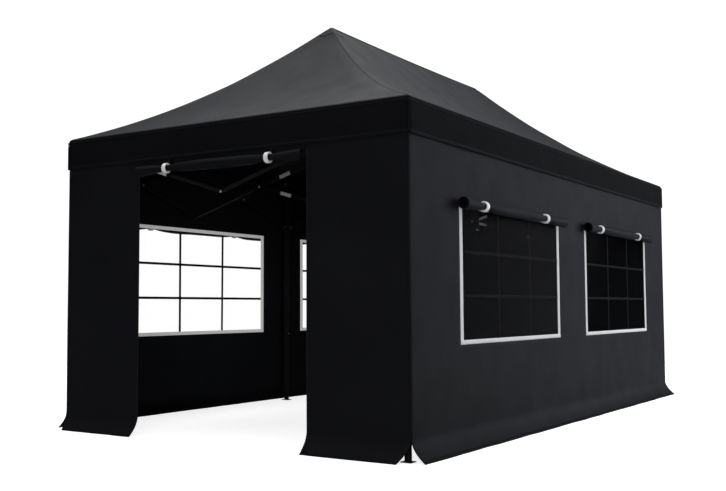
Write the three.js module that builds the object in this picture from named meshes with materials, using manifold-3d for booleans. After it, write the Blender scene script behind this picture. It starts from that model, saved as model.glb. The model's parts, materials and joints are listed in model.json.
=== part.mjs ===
// A 3 m by 6 m pop-up gazebo: a folding frame of six telescopic legs and scissor trusses,
// a hipped canopy on two peak poles, and four side walls, one with a rolled-up door.
// Millimetres, +Z up. The origin is on the ground at the middle of the plan; the door faces -Y.
import * as THREE from 'three';
import { mergeVertices } from 'three/addons/utils/BufferGeometryUtils.js';
import Module from 'manifold-3d';

// ---- driving dimensions ----
const PITCH = 2910; // between leg centres, the same along both sides
const LEG = 40; // outer leg tube, square
const LEG_WALL = 2;
const LEG_TOP = 2220;
const LEG_BOTTOM = 640; // lower end of the outer leg tube
const INNER_LEG = 34;
const INNER_TOP = 1250;
const FOOT = { side: 74, thick: 5, pegR: 5.5, pegOut: 27 };

const PIVOT_Z = 2195; // upper bar pivots
const PIVOT_OUT = 45; // bar pivot from the leg centre
const TRUSS_DEPTH = 440; // upper pivots to lower pivots when open
const HALF_SPAN = PITCH / 2 - PIVOT_OUT;
const BAR = { width: 25, thick: 12, length: Math.hypot(HALF_SPAN, TRUSS_DEPTH) };
const LAYER = 8; // bar centre from the truss plane, one layer each side
const PIN_R = 4;
const HOLE_R = 5;
const HEAD = { r: 9, thick: 2.5, lift: 0.5 };
const OVERLAP = 1; // how far joined solids run into each other
const PIN_SIDES = 8;
const HOLE_SIDES = 10;
const END_STEPS = 3; // facets in a bar end's quarter round

const CAP = { side: 46, height: 50 };
const LUG = { inner: 16, thick: 3, reach: 57, height: 36 };
const SLIDER = { side: 56, hole: 41.4, height: 60 };

const POLE = { side: 24, wall: 2, top: 3226 };
const CROSS_OFFSET = 30; // cross truss plane from the peak pole's centre
const HUB_PLATE = { near: 18, thick: 5, height: 44 };

const EAVE_OUT = 45; // eave edge from the leg centre line
const EAVE_Z = 2255;
const VALANCE_Z = 2020;
const PEAK_Z = 3260;
const FABRIC = 2.5;
const SAG = 0.38; // share of the roof's rise that is curved
const ROOF_RINGS = 8;

const WALL_OUT = 39; // inner face of a wall from the leg centre line
const WALL_TOP = 2205;
const CORNER_GAP = 1;
const SKIRT_HEIGHT = 150;
const SKIRT_STEPS = 6;
const FLARE = 106;
const DOOR = { half: 742, top: 2005 };
const DOOR_ROLL = { r: 38, half: 735, out: 70, drop: 19 };
// Each long wall has two windows, `middle` on either side of a point `shift` along from its own middle.
const WINDOW = { middle: 1288, width: 1921, shift: 22, rollZ: 1640, rollR: 43, sink: 6 };
const ROLL_SIDES = 20;

const HALF_X = PITCH / 2;
const HALF_Y = PITCH;
const HALF_W = HALF_X + EAVE_OUT;
const HALF_L = HALF_Y + EAVE_OUT;
const END_HALF = HALF_X + WALL_OUT + FABRIC; // half the length of an end wall

const wasm = await Module();
wasm.setup();

const finish = {
  frame: { color: 0x2b2c2e, roughness: 0.42, metalness: 0.75 },
  bars: { color: 0x26272a, roughness: 0.45, metalness: 0.7 },
  plastic: { color: 0x1a1a1b, roughness: 0.5, metalness: 0 },
  steel: { color: 0x8a8c8f, roughness: 0.35, metalness: 0.9 },
  canvas: { color: 0x202124, roughness: 0.85, metalness: 0 },
};

const gazebo = new THREE.Group();
gazebo.name = 'pop_up_gazebo';

// ---- solids ----
function toSolid(geometry) {
  const bare = geometry.clone();
  bare.deleteAttribute('normal');
  bare.deleteAttribute('uv');
  const merged = mergeVertices(bare, 1e-4);
  return new wasm.Manifold(new wasm.Mesh({
    numProp: 3,
    vertProperties: new Float32Array(merged.getAttribute('position').array),
    triVerts: new Uint32Array(merged.getIndex().array),
  }));
}

function toGeometry(solid) {
  const { vertProperties, triVerts } = solid.getMesh();
  const geometry = new THREE.BufferGeometry();
  geometry.setAttribute('position', new THREE.BufferAttribute(vertProperties, 3));
  geometry.setIndex(new THREE.BufferAttribute(triVerts, 1));
  return geometry;
}

function joined(added, removed = []) {
  const whole = added.map(toSolid).reduce((a, b) => a.add(b));
  return toGeometry(removed.map(toSolid).reduce((a, b) => a.subtract(b), whole));
}

function box(low, high) {
  const size = high.map((v, i) => v - low[i]);
  const mid = high.map((v, i) => (v + low[i]) / 2);
  return new THREE.BoxGeometry(...size).translate(...mid);
}

// A round bar along Z from z0 to z1 at (x, y).
function rod(r, sides, z0, z1, x = 0, y = 0) {
  const geometry = new THREE.CylinderGeometry(r, r, z1 - z0, sides).rotateX(Math.PI / 2);
  return geometry.translate(x, y, (z0 + z1) / 2);
}

// A square tube standing on z0, open at both ends.
function squareTube(side, wall, z0, z1) {
  const outline = new THREE.Shape();
  const half = side / 2;
  outline.moveTo(-half, -half).lineTo(half, -half).lineTo(half, half).lineTo(-half, half).closePath();
  const bore = half - wall;
  const hole = new THREE.Path();
  hole.moveTo(-bore, -bore).lineTo(-bore, bore).lineTo(bore, bore).lineTo(bore, -bore).closePath();
  outline.holes.push(hole);
  const tube = new THREE.ExtrudeGeometry(outline, { depth: z1 - z0, bevelEnabled: false });
  return tube.translate(0, 0, z0);
}

function add(name, geometry, look, matrix = new THREE.Matrix4()) {
  const mesh = new THREE.Mesh(geometry, new THREE.MeshStandardMaterial(finish[look]));
  mesh.name = name;
  mesh.applyMatrix4(matrix);
  gazebo.add(mesh);
}

// ---- bars ----
// A bar lies along its own X from one end pivot to the other, with the truss plane at z = 0.
function barBlank(zMid) {
  const half = BAR.width / 2;
  const outline = new THREE.Shape();
  outline.moveTo(0, -half).lineTo(BAR.length, -half);
  outline.absarc(BAR.length, 0, half, -Math.PI / 2, Math.PI / 2, false);
  outline.lineTo(0, half);
  outline.absarc(0, 0, half, Math.PI / 2, 1.5 * Math.PI, false);
  const options = { depth: BAR.thick, bevelEnabled: false, curveSegments: 2 * END_STEPS };
  return new THREE.ExtrudeGeometry(outline, options).translate(0, 0, zMid - BAR.thick / 2);
}

function pivotHole(x, zMid) {
  const half = BAR.thick / 2 + OVERLAP;
  return rod(HOLE_R, HOLE_SIDES, zMid - half, zMid + half, x);
}

// A pin that starts inside a layer A bar and runs through `reach`, then ends in a head.
function headedPin(x, reach) {
  const shank = rod(PIN_R, PIN_SIDES, -LAYER, reach + HEAD.lift + HEAD.thick / 2, x);
  const head = rod(HEAD.r, PIN_SIDES, reach + HEAD.lift, reach + HEAD.lift + HEAD.thick, x);
  return [shank, head];
}

// Layer A: a hole at its leg end, and pins at its middle and at its hub end.
function pinBar(hubReach = LAYER + BAR.thick / 2) {
  const pins = [...headedPin(BAR.length / 2, LAYER + BAR.thick / 2), ...headedPin(BAR.length, hubReach)];
  return joined([barBlank(-LAYER), ...pins], [pivotHole(0, -LAYER)]);
}

// Layer B: three holes.
function holeBar() {
  return joined([barBlank(LAYER)], [0, BAR.length / 2, BAR.length].map((x) => pivotHole(x, LAYER)));
}

const UP = new THREE.Vector3(0, 0, 1);

// Puts a bar's own frame at `from`, pointing to `to`, with its Z along the truss normal.
function barPlace(from, to, normal) {
  const along = to.clone().sub(from).normalize();
  const across = normal.clone().cross(along);
  return new THREE.Matrix4().makeBasis(along, across, normal).setPosition(from);
}

// The four bars of a truss of two crosses that starts at the leg or hub centre `start`,
// runs along `run`, and has its pin heads on the side of `normal`.
function truss(name, start, run, normal, reachLow, reachHigh) {
  const at = (out, z) => start.clone().addScaledVector(run, out).addScaledVector(UP, z);
  const low = PIVOT_Z - TRUSS_DEPTH;
  const far = PITCH - PIVOT_OUT;
  const mid = PITCH / 2;
  add(`${name}_bar_a1`, pinBar(reachLow), 'bars', barPlace(at(PIVOT_OUT, PIVOT_Z), at(mid, low), normal));
  add(`${name}_bar_b1`, holeBar(), 'bars', barPlace(at(PIVOT_OUT, low), at(mid, PIVOT_Z), normal));
  add(`${name}_bar_b2`, holeBar(), 'bars', barPlace(at(mid, low), at(far, PIVOT_Z), normal));
  add(`${name}_bar_a2`, pinBar(reachHigh), 'bars', barPlace(at(far, low), at(mid, PIVOT_Z), normal));
}

// ---- legs, with a cap on top and a slider below ----
// Two cheeks and a pin that hold a bar end on one side of a leg. `turn` is about Z from +X.
function lug(turn, inner) {
  const cheek = (side) => box(
    [inner, side > 0 ? LUG.inner : -LUG.inner - LUG.thick, -LUG.height / 2],
    [LUG.reach, side > 0 ? LUG.inner + LUG.thick : -LUG.inner, LUG.height / 2],
  );
  const half = LUG.inner + LUG.thick / 2;
  const pin = rod(PIN_R, PIN_SIDES, -half, half).rotateX(Math.PI / 2).translate(PIVOT_OUT, 0, 0);
  return [cheek(1), cheek(-1), pin].map((piece) => piece.rotateZ(turn));
}

function outerLeg(turns) {
  const tube = squareTube(LEG, LEG_WALL, LEG_BOTTOM, LEG_TOP - OVERLAP);
  const half = CAP.side / 2;
  const cap = box([-half, -half, LEG_TOP - CAP.height], [half, half, LEG_TOP]);
  const bore = LEG / 2 - LEG_WALL;
  const room = box([-bore, -bore, LEG_TOP - CAP.height - OVERLAP], [bore, bore, LEG_TOP - LEG_WALL]);
  const lugs = turns.flatMap((turn) => lug(turn, LEG / 2 - OVERLAP));
  lugs.forEach((piece) => piece.translate(0, 0, PIVOT_Z));
  return joined([tube, cap, ...lugs], [room]);
}

function innerLeg() {
  const half = FOOT.side / 2;
  const plate = box([-half, -half, 0], [half, half, FOOT.thick]);
  const pegHole = (out) => rod(FOOT.pegR, HOLE_SIDES, -OVERLAP, FOOT.thick + OVERLAP, out, out);
  const tube = squareTube(INNER_LEG, LEG_WALL, FOOT.thick / 2, INNER_TOP);
  return joined([tube, plate], [pegHole(FOOT.pegOut), pegHole(-FOOT.pegOut)]);
}

function slider(turns) {
  const half = SLIDER.side / 2;
  const bore = SLIDER.hole / 2;
  const ring = box([-half, -half, -SLIDER.height / 2], [half, half, SLIDER.height / 2]);
  const room = box([-bore, -bore, -SLIDER.height], [bore, bore, SLIDER.height]);
  return joined([ring, ...turns.flatMap((turn) => lug(turn, half - OVERLAP))], [room]);
}

const QUARTER = Math.PI / 2;
const legs = [
  { name: 'front_right', x: HALF_X, y: -HALF_Y, turns: [QUARTER, 2 * QUARTER] },
  { name: 'mid_right', x: HALF_X, y: 0, turns: [QUARTER, -QUARTER] },
  { name: 'back_right', x: HALF_X, y: HALF_Y, turns: [-QUARTER, 2 * QUARTER] },
  { name: 'front_left', x: -HALF_X, y: -HALF_Y, turns: [QUARTER, 0] },
  { name: 'mid_left', x: -HALF_X, y: 0, turns: [QUARTER, -QUARTER] },
  { name: 'back_left', x: -HALF_X, y: HALF_Y, turns: [-QUARTER, 0] },
];
for (const { name, x, y, turns } of legs) {
  const onGround = new THREE.Matrix4().makeTranslation(x, y, 0);
  const onSlider = new THREE.Matrix4().makeTranslation(x, y, PIVOT_Z - TRUSS_DEPTH);
  add(`outer_leg_${name}`, outerLeg(turns), 'frame', onGround);
  add(`inner_leg_${name}`, innerLeg(), 'steel', onGround);
  add(`slider_${name}`, slider(turns), 'plastic', onSlider);
}

// ---- perimeter trusses, pin heads inwards ----
const X = new THREE.Vector3(1, 0, 0);
const Y = new THREE.Vector3(0, 1, 0);
const back = (v) => v.clone().negate();
const ground = (x, y) => new THREE.Vector3(x, y, 0);
const THROUGH = LAYER + BAR.thick / 2;
const TO_PLATE = HUB_PLATE.near + HUB_PLATE.thick;
truss('right_front', ground(HALF_X, 0), back(Y), back(X), THROUGH, TO_PLATE);
truss('right_back', ground(HALF_X, 0), Y, back(X), THROUGH, TO_PLATE);
truss('front', ground(HALF_X, -HALF_Y), back(X), Y, THROUGH, THROUGH);
truss('back', ground(HALF_X, HALF_Y), back(X), back(Y), THROUGH, THROUGH);
truss('left_front', ground(-HALF_X, -HALF_Y), Y, X, THROUGH, THROUGH);
truss('left_back', ground(-HALF_X, HALF_Y), back(Y), X, THROUGH, THROUGH);

// ---- cross trusses between the long sides, each with a hub plate and a peak pole ----
// The plate hangs on the side truss's upper hub pin and holds the cross truss's first bar.
// Its own X points to the gazebo's middle line and its Y to the nearer end of the gazebo.
function hubPlate() {
  const { near, thick, height } = HUB_PLATE;
  const arm = CROSS_OFFSET + LUG.inner;
  const plate = box([near, -height / 2, -height / 2], [near + thick, arm + LUG.thick, height / 2]);
  const hole = rod(HOLE_R, HOLE_SIDES, near - OVERLAP, near + thick + OVERLAP).rotateY(QUARTER);
  const lugs = lug(0, near + OVERLAP).map((piece) => piece.translate(0, CROSS_OFFSET, 0));
  return joined([plate, ...lugs], [hole]);
}

// A square tube that stands beside the cross truss, with a cross hole at its lower end.
function peakPole() {
  const foot = PIVOT_Z - TRUSS_DEPTH - POLE.side / 2;
  const tube = squareTube(POLE.side, POLE.wall, foot, POLE.top);
  const half = POLE.side / 2;
  const plug = box([-half, -half, foot], [half, half, foot + POLE.side]);
  const hole = rod(HOLE_R, HOLE_SIDES, -POLE.side, POLE.side).rotateX(QUARTER);
  return joined([tube, plug], [hole.translate(0, 0, PIVOT_Z - TRUSS_DEPTH)]);
}

// Turns a mirrored geometry's triangles so that they face outwards again.
function flipFaces(geometry) {
  const index = geometry.getIndex();
  for (let i = 0; i < index.count; i += 3) {
    const first = index.getX(i);
    index.setX(i, index.getX(i + 2));
    index.setX(i + 2, first);
  }
}

for (const [name, side] of [['front', -1], ['back', 1]]) {
  const y = side * PITCH / 2;
  const upper = new THREE.Matrix4().makeTranslation(HALF_X, y, PIVOT_Z);
  const facing = new THREE.Matrix4().makeScale(-1, side, 1);
  const plate = hubPlate().applyMatrix4(facing);
  if (side > 0) flipFaces(plate);
  add(`hub_plate_${name}`, plate, 'plastic', upper);
  add(`peak_pole_${name}`, peakPole(), 'frame', new THREE.Matrix4().makeTranslation(0, y, 0));
  const start = ground(HALF_X, y + side * CROSS_OFFSET);
  const towardPole = Y.clone().multiplyScalar(-side);
  const throughPole = CROSS_OFFSET + POLE.side / 2;
  truss(`cross_${name}`, start, back(X), towardPole, throughPole, THROUGH);
}

// ---- canopy ----
// The hipped roof is a stack of level rectangles. `t` runs from 0 at the eave to 1 at the ridge.
function roofRing(t, inset, drop) {
  const x = (HALF_W - inset) * (1 - t);
  const y = HALF_L - inset - (HALF_W - inset) * t;
  const rise = (PEAK_Z - EAVE_Z) * ((1 - SAG) * t + SAG * t * t);
  return rectangle(x, y, EAVE_Z - drop + rise);
}

function rectangle(x, y, z) {
  return [[-x, -y, z], [x, -y, z], [x, y, z], [-x, y, z]];
}

// Closes a stack of four-cornered rings into one body. The first and last ring are ridge lines.
function stackedRings(rings) {
  const positions = rings.flat(2);
  const index = [];
  for (let k = 0; k + 1 < rings.length; k += 1) {
    for (let i = 0; i < 4; i += 1) {
      const j = (i + 1) % 4;
      const [a, b, c, d] = [4 * k + i, 4 * k + j, 4 * k + 4 + j, 4 * k + 4 + i];
      index.push(a, c, b, a, d, c);
    }
  }
  const geometry = new THREE.BufferGeometry();
  geometry.setAttribute('position', new THREE.Float32BufferAttribute(positions, 3));
  geometry.setIndex(index);
  return toGeometry(toSolid(geometry));
}

function canopy() {
  const steps = Array.from({ length: ROOF_RINGS + 1 }, (_, k) => 1 - k / ROOF_RINGS);
  const outer = steps.map((t) => roofRing(t, 0, 0));
  const inner = steps.map((t) => roofRing(t, FABRIC, FABRIC)).reverse();
  const hem = [
    rectangle(HALF_W, HALF_L, VALANCE_Z),
    rectangle(HALF_W - FABRIC, HALF_L - FABRIC, VALANCE_Z),
  ];
  return stackedRings([...outer, ...hem, ...inner]);
}
add('canopy', canopy(), 'canvas');

// ---- walls ----
// A wall is drawn with its length along X and its outer side facing -Y, and its inner face at y = 0.
// The skirt curves out on the ground.
function wallSection() {
  const inner = [];
  const outer = [];
  for (let k = 0; k <= SKIRT_STEPS; k += 1) {
    const s = k / SKIRT_STEPS;
    const slope = Math.atan2(2 * FLARE * s, SKIRT_HEIGHT);
    const [out, z] = [FLARE * s * s, SKIRT_HEIGHT * (1 - s)];
    inner.push([out, z]);
    outer.push([out + FABRIC * Math.cos(slope), z + FABRIC * Math.sin(slope)]);
  }
  const points = [[0, WALL_TOP], ...inner, ...outer.reverse(), [FABRIC, WALL_TOP]];
  return new THREE.Shape(points.map(([out, z]) => new THREE.Vector2(out, z)));
}

function plainWall(half) {
  const sheet = new THREE.ExtrudeGeometry(wallSection(), { depth: 2 * half, bevelEnabled: false });
  const stood = new THREE.Matrix4().makeBasis(back(Y), UP, back(X)).setPosition(half, 0, 0);
  return sheet.applyMatrix4(stood);
}

function longRod(r, half, y, z) {
  return rod(r, ROLL_SIDES, -half, half).rotateY(QUARTER).translate(0, y, z);
}

// A long wall with the roll of each window's cover flap along the window's top.
function windowWall() {
  const half = HALF_Y + WALL_OUT - CORNER_GAP;
  const out = WINDOW.sink - FABRIC - WINDOW.rollR;
  const roll = (x) => longRod(WINDOW.rollR, WINDOW.width / 2, out, WINDOW.rollZ).translate(x, 0, 0);
  const rolls = [-1, 1].map((side) => roll(WINDOW.shift + side * WINDOW.middle));
  return joined([plainWall(half), ...rolls]);
}

function doorWall() {
  const sheet = plainWall(END_HALF);
  const doorway = box([-DOOR.half, -2 * FLARE, -OVERLAP], [DOOR.half, WALL_OUT, DOOR.top]);
  return joined([sheet], [doorway]);
}

const place = (x, y, turn) => new THREE.Matrix4().makeRotationZ(turn).setPosition(x, y, 0);
add('right_wall', windowWall(), 'canvas', place(HALF_X + WALL_OUT, 0, QUARTER));
add('left_wall', windowWall(), 'canvas', place(-HALF_X - WALL_OUT, 0, -QUARTER));
add('front_wall', doorWall(), 'canvas', place(0, -HALF_Y - WALL_OUT, 0));
add('back_wall', plainWall(END_HALF), 'canvas', place(0, HALF_Y + WALL_OUT, Math.PI));

// The door hangs rolled up under the doorway's top edge, clear of the front truss.
const rollZ = DOOR.top - DOOR_ROLL.drop - DOOR_ROLL.r;
const rollY = -HALF_Y - DOOR_ROLL.out;
add('door_roll', longRod(DOOR_ROLL.r, DOOR_ROLL.half, rollY, rollZ), 'canvas');

export default gazebo;
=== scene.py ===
import json
import math

import bmesh
import bpy
import numpy as np
from mathutils import Matrix, Vector

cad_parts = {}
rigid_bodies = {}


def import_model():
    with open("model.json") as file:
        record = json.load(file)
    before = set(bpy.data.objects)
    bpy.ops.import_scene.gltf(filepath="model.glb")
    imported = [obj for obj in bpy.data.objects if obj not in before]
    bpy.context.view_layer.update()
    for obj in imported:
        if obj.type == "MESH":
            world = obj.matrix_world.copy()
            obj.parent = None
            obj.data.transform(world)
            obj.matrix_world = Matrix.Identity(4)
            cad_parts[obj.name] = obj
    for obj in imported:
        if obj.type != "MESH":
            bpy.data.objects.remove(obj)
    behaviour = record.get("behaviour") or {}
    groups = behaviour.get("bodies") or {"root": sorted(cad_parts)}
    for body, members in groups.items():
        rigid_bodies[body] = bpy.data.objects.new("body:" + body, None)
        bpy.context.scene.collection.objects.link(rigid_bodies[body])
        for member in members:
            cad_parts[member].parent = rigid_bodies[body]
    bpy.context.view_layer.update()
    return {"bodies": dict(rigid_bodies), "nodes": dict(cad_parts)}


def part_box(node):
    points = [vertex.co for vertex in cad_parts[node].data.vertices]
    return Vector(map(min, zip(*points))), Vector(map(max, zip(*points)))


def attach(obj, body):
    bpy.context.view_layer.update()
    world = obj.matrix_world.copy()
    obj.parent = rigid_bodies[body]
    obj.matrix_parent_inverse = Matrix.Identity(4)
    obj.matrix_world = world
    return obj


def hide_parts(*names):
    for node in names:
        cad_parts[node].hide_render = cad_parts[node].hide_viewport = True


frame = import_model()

UP = Vector((0, 0, 1))


def middle_of(node):
    """The middle of a CAD node's box."""
    low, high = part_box(node)
    return [(a + b) / 2 for a, b in zip(low, high)]


# ---- sizes, in metres
# The fabric rides on ROOT, and hooks draw it in with the other legs and the poles.
ROOT = "mid_right_leg"
LEG_X = middle_of("inner_leg_front_right")[0]
LEG_Y = -middle_of("inner_leg_front_right")[1]
POLE_Y = middle_of("peak_pole_back")[1]

# Canopy. SAG is the share of the roof's rise that is curved, and EAVE_SOFT the radius of its eave.
ROOF_LOW, ROOF_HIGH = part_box("canopy")
HALF_W, HALF_L = ROOF_HIGH.x, ROOF_HIGH.y
PEAK, VALANCE_HEM = ROOF_HIGH.z, ROOF_LOW.z
VALANCE_DEPTH = 0.235
EAVE = VALANCE_HEM + VALANCE_DEPTH
SAG = 0.38
EAVE_SOFT = 0.030
CLOTH = 0.0011

# Walls. The long walls' inner faces are at SIDE_X, the end walls' at END_Y.
SIDE_X = -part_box("left_wall")[1].x
END_Y = -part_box("front_wall")[1].y
WALL_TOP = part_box("right_wall")[1].z
SIDE_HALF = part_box("right_wall")[1].y
END_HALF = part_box("front_wall")[1].x
FLARE = 0.102
SKIRT_HEIGHT = 0.15
SKIRT_CUT = {"from": 0.25, "back": 0.055}
HEM_Z = 0.001

# Doorway and windows. Heights are above the ground, and rings are placed along their roll.
DOOR_HALF = 0.742
DOOR_TOP = 2.005
DOOR_RINGS = (-0.455, 0.455)
WINDOW_MIDDLE, WINDOW_SHIFT, WINDOW_WIDTH = 1.288, 0.022, 1.921
WINDOW_LOW, WINDOW_TOP = 0.692, 1.647
WINDOW_RINGS = (0.315, 1.502)
TAPE_SIDE, TAPE_EDGE = 0.045, 0.030
RING = {"outer": 0.0378, "inner": 0.0240, "half": 0.0165, "round": 0.0056}
WINDOW_ROLL = {"full": 0.041, "neck": 0.0196, "core": 0.58, "turns": 3.9, "centre": (0.047, 1.640)}
DOOR_ROLL = {"full": 0.0385, "neck": 0.0198, "core": 0.28, "turns": 9.5, "centre": (0.034, 1.948)}
TAIL_OUT = 0.0062   # where a roll's tail is sewn on, out from the wall's inner face

# Sewn strips, as (width, height proud of the cloth).
HIP_SEAM = (0.014, 0.0014)
RIDGE_SEAM = (0.016, 0.0035)
CORNER_SEAM = (0.010, 0.0035)
BOTTOM_HEM = (0.020, 0.0016)
BINDING = (0.022, 0.0014)
UPRIGHT = (0.028, 0.0012)
CROSSBAR = (0.021, 0.0015)
TAPE_PROUD, TAPE_INSIDE = 0.0018, -0.0012
ZIP = (0.007, 0.0030)
RING_TAB = (0.024, 0.0016)

# Hard parts on the frame. Pivots are at PIVOT_OUT from a leg's middle.
COLLAR = {"bore": (0.0404, 0.0404), "wall": 0.0045, "length": 0.050, "round": 0.003}
COLLAR_BELOW, SNAP_BUTTON_UP = 0.004, 0.03
HOLES = {"count": 9, "first": 0.12, "pitch": 0.05}
INNER_LEG_FACE, SLIDER_FACE = 0.017, 0.028
PIVOT_OUT, CHEEK_FACE = 0.045, 0.019
BAR_END, BAR_THICK = 0.0125, 0.012
BAR_FACE, HEAD_FACE = 0.014, 0.017
TIE = {"bore": (0.0258, 0.0128), "wall": 0.0011, "length": 0.110, "round": 0.001}
TIE_FROM_MIDDLE = {"front": 0.60, "back": 0.60, "cross_front": 0.46, "cross_back": 0.46}
LOWER_PIVOT = middle_of("slider_mid_right")[2]
UPPER_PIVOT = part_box("right_front_bar_b1")[1].z - BAR_END

# ---- camera
SENSOR = 36
FOCAL_SHARE = 1.3786
camera = bpy.data.objects.new("camera", bpy.data.cameras.new("camera"))
bpy.context.scene.collection.objects.link(camera)
bpy.context.scene.camera = camera
camera.location = (4.356, -8.416, 0.954)
camera.rotation_euler = (math.radians(93.431), 0, math.radians(35.398))
camera.data.sensor_width = SENSOR
camera.data.lens = SENSOR * FOCAL_SHARE
camera.data.shift_x = 0.124
camera.data.clip_end = 200


# ---- materials
class Tree:
    """A node tree, with short calls for the nodes used here."""

    def __init__(self, owner):
        owner.use_nodes = True
        self.nodes, self.links = owner.node_tree.nodes, owner.node_tree.links

    def put(self, socket, value):
        """Sets a socket to a number or colour, or links another node's output to it."""
        if isinstance(value, bpy.types.NodeSocket):
            self.links.new(value, socket)
        else:
            socket.default_value = value

    def add(self, kind, output, inputs, **settings):
        """A new node's output."""
        node = self.nodes.new(f"ShaderNode{kind}")
        for key, value in settings.items():
            setattr(node, key, value)
        for key, value in inputs.items():
            self.put(node.inputs[key], value)
        return node.outputs[output]

    def place(self):
        return self.add("TexCoord", "Object", {})

    def noise(self, where, scale, detail, stretch=(1, 1, 1)):
        where = self.add("Mapping", "Vector", {"Vector": where, "Scale": stretch})
        return self.add("TexNoise", "Fac", {"Vector": where, "Scale": scale, "Detail": detail})

    def maths(self, operation, *values):
        return self.add("Math", "Value", dict(enumerate(values)), operation=operation)

    def spread(self, value, width, start):
        """`value` scaled to run from `start` over `width`."""
        return self.maths("ADD", self.maths("MULTIPLY", value, width), start)

    def split(self, vector):
        """A vector's X, Y and Z outputs."""
        node = self.nodes.new("ShaderNodeSeparateXYZ")
        self.links.new(vector, node.inputs["Vector"])
        return node.outputs

    def tones(self, value, low, high):
        """Maps 0.3 to 0.7 of `value` from colour `low` to colour `high`."""
        node = self.nodes.new("ShaderNodeValToRGB")
        for stop, position, colour in zip(node.color_ramp.elements, (0.3, 0.7), (low, high)):
            stop.position, stop.color = position, (*colour, 1)
        self.links.new(value, node.inputs["Fac"])
        return node.outputs["Color"]

    def weave(self, where, threads):
        """Warp and weft of a plain weave on all three axes, `threads` to the metre."""
        axes = self.split(where)
        turns = [self.maths("MULTIPLY", axes[axis], math.tau * threads) for axis in ("X", "Y", "Z")]
        x, y, z = (self.maths("SINE", turn) for turn in turns)
        return self.maths("ADD", self.maths("ADD", x, y), z)

    def bump(self, height, distance, strength, after=None):
        """A bump on top of the bump `after`; `distance` is in metres."""
        inputs = {"Height": height, "Distance": distance, "Strength": strength}
        if after is not None:
            inputs["Normal"] = after
        return self.add("Bump", "Normal", inputs)


class Look(Tree):
    """A Principled material."""

    def __init__(self, name, colour, roughness, specular=0.5, metallic=0.0):
        self.made = bpy.data.materials.new(name)
        super().__init__(self.made)
        self.made.diffuse_color = (*colour, 1)
        self.set("Base Color", (*colour, 1))
        self.set("Roughness", roughness)
        self.set("Specular IOR Level", specular)
        self.set("Metallic", metallic)

    def set(self, socket, value):
        self.put(self.nodes["Principled BSDF"].inputs[socket], value)


def shade(colour, factor):
    return tuple(c * factor for c in colour)


def coated_cloth(name, colour, roughness=0.6, specular=0.15):
    """Coated polyester: an even weave, faint slubs, uneven tone and a dull coat."""
    look = Look(name, colour, roughness, specular)
    look.set("Specular Tint", (0.78, 0.84, 1.0, 1.0))
    where = look.place()
    clouds = look.noise(where, scale=1.6, detail=4)
    look.set("Base Color", look.tones(clouds, shade(colour, 0.86), shade(colour, 1.16)))
    patchy = look.noise(where, scale=5.0, detail=3)
    look.set("Roughness", look.spread(patchy, 0.16, roughness - 0.08))
    threads = look.bump(look.weave(where, 700), distance=0.00008, strength=0.5)
    slub = look.noise(where, scale=90, detail=2, stretch=(1, 1, 0.08))
    slubs = look.bump(slub, distance=0.0003, strength=0.35, after=threads)
    crease = look.noise(where, scale=2.3, detail=5)
    look.set("Normal", look.bump(crease, distance=0.006, strength=0.35, after=slubs))
    return look.made


STITCH_PITCH, STITCH_FILLED, STITCH_HALF = 0.0042, 0.68, 0.0006


def stitched_cloth(name, colour, thread, rows, painted_glow=0.0, specular=0.03):
    """Binding with two rows of stitches, on a UV map in metres; its glow is painted light, an emission that
    brightens the cloth though it is no lamp.
    """
    look = Look(name, colour, 0.7, specular)
    look.set("Emission Color", (*colour, 1))
    look.set("Emission Strength", painted_glow)
    uv = look.split(look.add("UVMap", "UV", {}))
    along = look.maths("FRACT", look.maths("DIVIDE", uv["X"], STITCH_PITCH))
    dash = look.maths("LESS_THAN", along, STITCH_FILLED)
    gaps = [look.maths("ABSOLUTE", look.maths("SUBTRACT", uv["Y"], row)) for row in rows]
    lines = look.maths("MAXIMUM", *(look.maths("LESS_THAN", gap, STITCH_HALF) for gap in gaps))
    stitch = look.maths("MULTIPLY", dash, lines)
    colours = {0: stitch, 6: (*colour, 1), 7: (*thread, 1)}
    look.set("Base Color", look.add("Mix", 2, colours, data_type="RGBA"))
    threads = look.bump(look.weave(look.place(), 500), distance=0.0001, strength=0.6)
    look.set("Normal", look.bump(stitch, distance=0.0006, strength=0.8, after=threads))
    return look.made


def powder_coat(name, colour, roughness):
    """Sprayed steel: orange peel, and paler scuffs where the parts rub."""
    look = Look(name, colour, roughness, 0.12, metallic=0.05)
    where = look.place()
    scuffs = look.noise(where, scale=30, detail=6, stretch=(1, 1, 0.3))
    look.set("Base Color", look.tones(scuffs, colour, shade(colour, 1.9)))
    look.set("Roughness", look.spread(scuffs, 0.3, roughness - 0.12))
    peel = look.noise(where, scale=650, detail=2)
    look.set("Normal", look.bump(peel, distance=0.0002, strength=0.3))
    return look.made


def moulded(name, colour, roughness, specular=0.5):
    """Injection-moulded plastic with a spark-eroded grain."""
    look = Look(name, colour, roughness, specular)
    where = look.place()
    patches = look.noise(where, scale=22, detail=3)
    look.set("Base Color", look.tones(patches, shade(colour, 0.92), shade(colour, 1.06)))
    grain = look.noise(where, scale=1500, detail=2)
    look.set("Normal", look.bump(grain, distance=0.0001, strength=0.4))
    return look.made


def clear_film():
    """Clear vinyl: nearly invisible, with a soft ripple in its gloss."""
    look = Look("clear_film", (0.034, 0.035, 0.037), 0.08, 0.02)
    look.set("Alpha", 0.04)
    ripple = look.noise(look.place(), scale=7, detail=3)
    look.set("Normal", look.bump(ripple, distance=0.004, strength=0.5))
    look.made.surface_render_method = "BLENDED"
    return look.made


def bright_steel():
    """Zinc-plated steel with a fine crystal grain."""
    look = Look("zinc_plate", (0.62, 0.62, 0.6), 0.32, metallic=1.0)
    grain = look.noise(look.place(), scale=900, detail=3)
    look.set("Normal", look.bump(grain, distance=0.0001, strength=0.4))
    return look.made


# Painted light: the roof is the same black polyester as the walls, but its colour is made lighter to stand in
# for the sheen on its slopes.
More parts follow.
